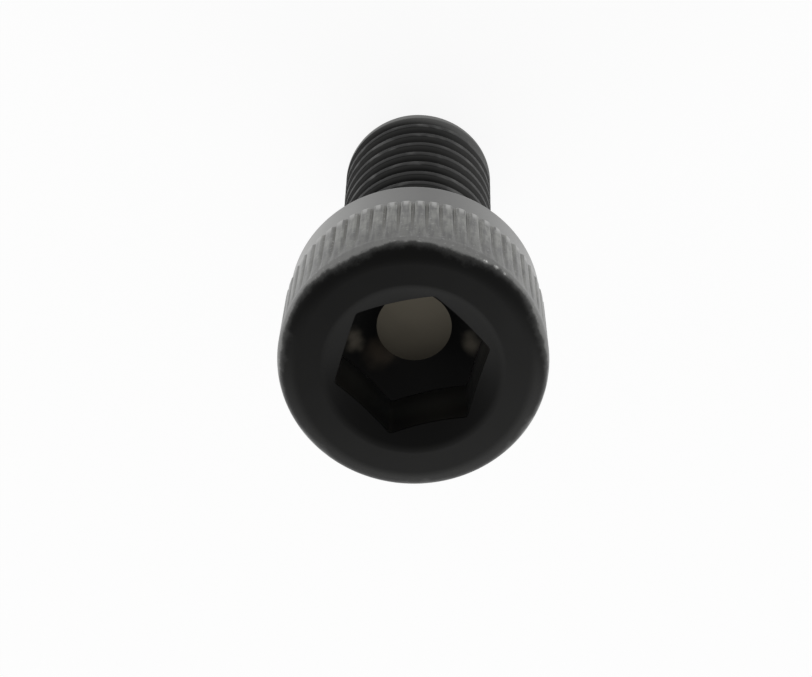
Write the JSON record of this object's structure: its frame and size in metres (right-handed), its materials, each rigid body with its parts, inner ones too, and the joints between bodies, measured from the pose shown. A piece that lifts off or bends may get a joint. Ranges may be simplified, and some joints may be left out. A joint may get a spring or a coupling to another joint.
{
  "type": "clamp screw",
  "caption": "Black socket-head cap screw with a knurled cylindrical head, a hexagon socket and a short threaded shank with a chamfered tip, used to draw a clamp together.",
  "frame": {"origin": "middle of the tip's end face, which the screw stands on", "axes": "+Z along the screw's axis from the tip to the head, with the socket opening upwards; two corners of the hexagon lie on X"},
  "size_m": [0.01, 0.01, 0.018],
  "materials": {
    "black_oxide_steel": "black oxide, satin"
  },
  "bodies": {
    "root": {"clamp_screw": "black_oxide_steel"}
  },
  "joints": []
}
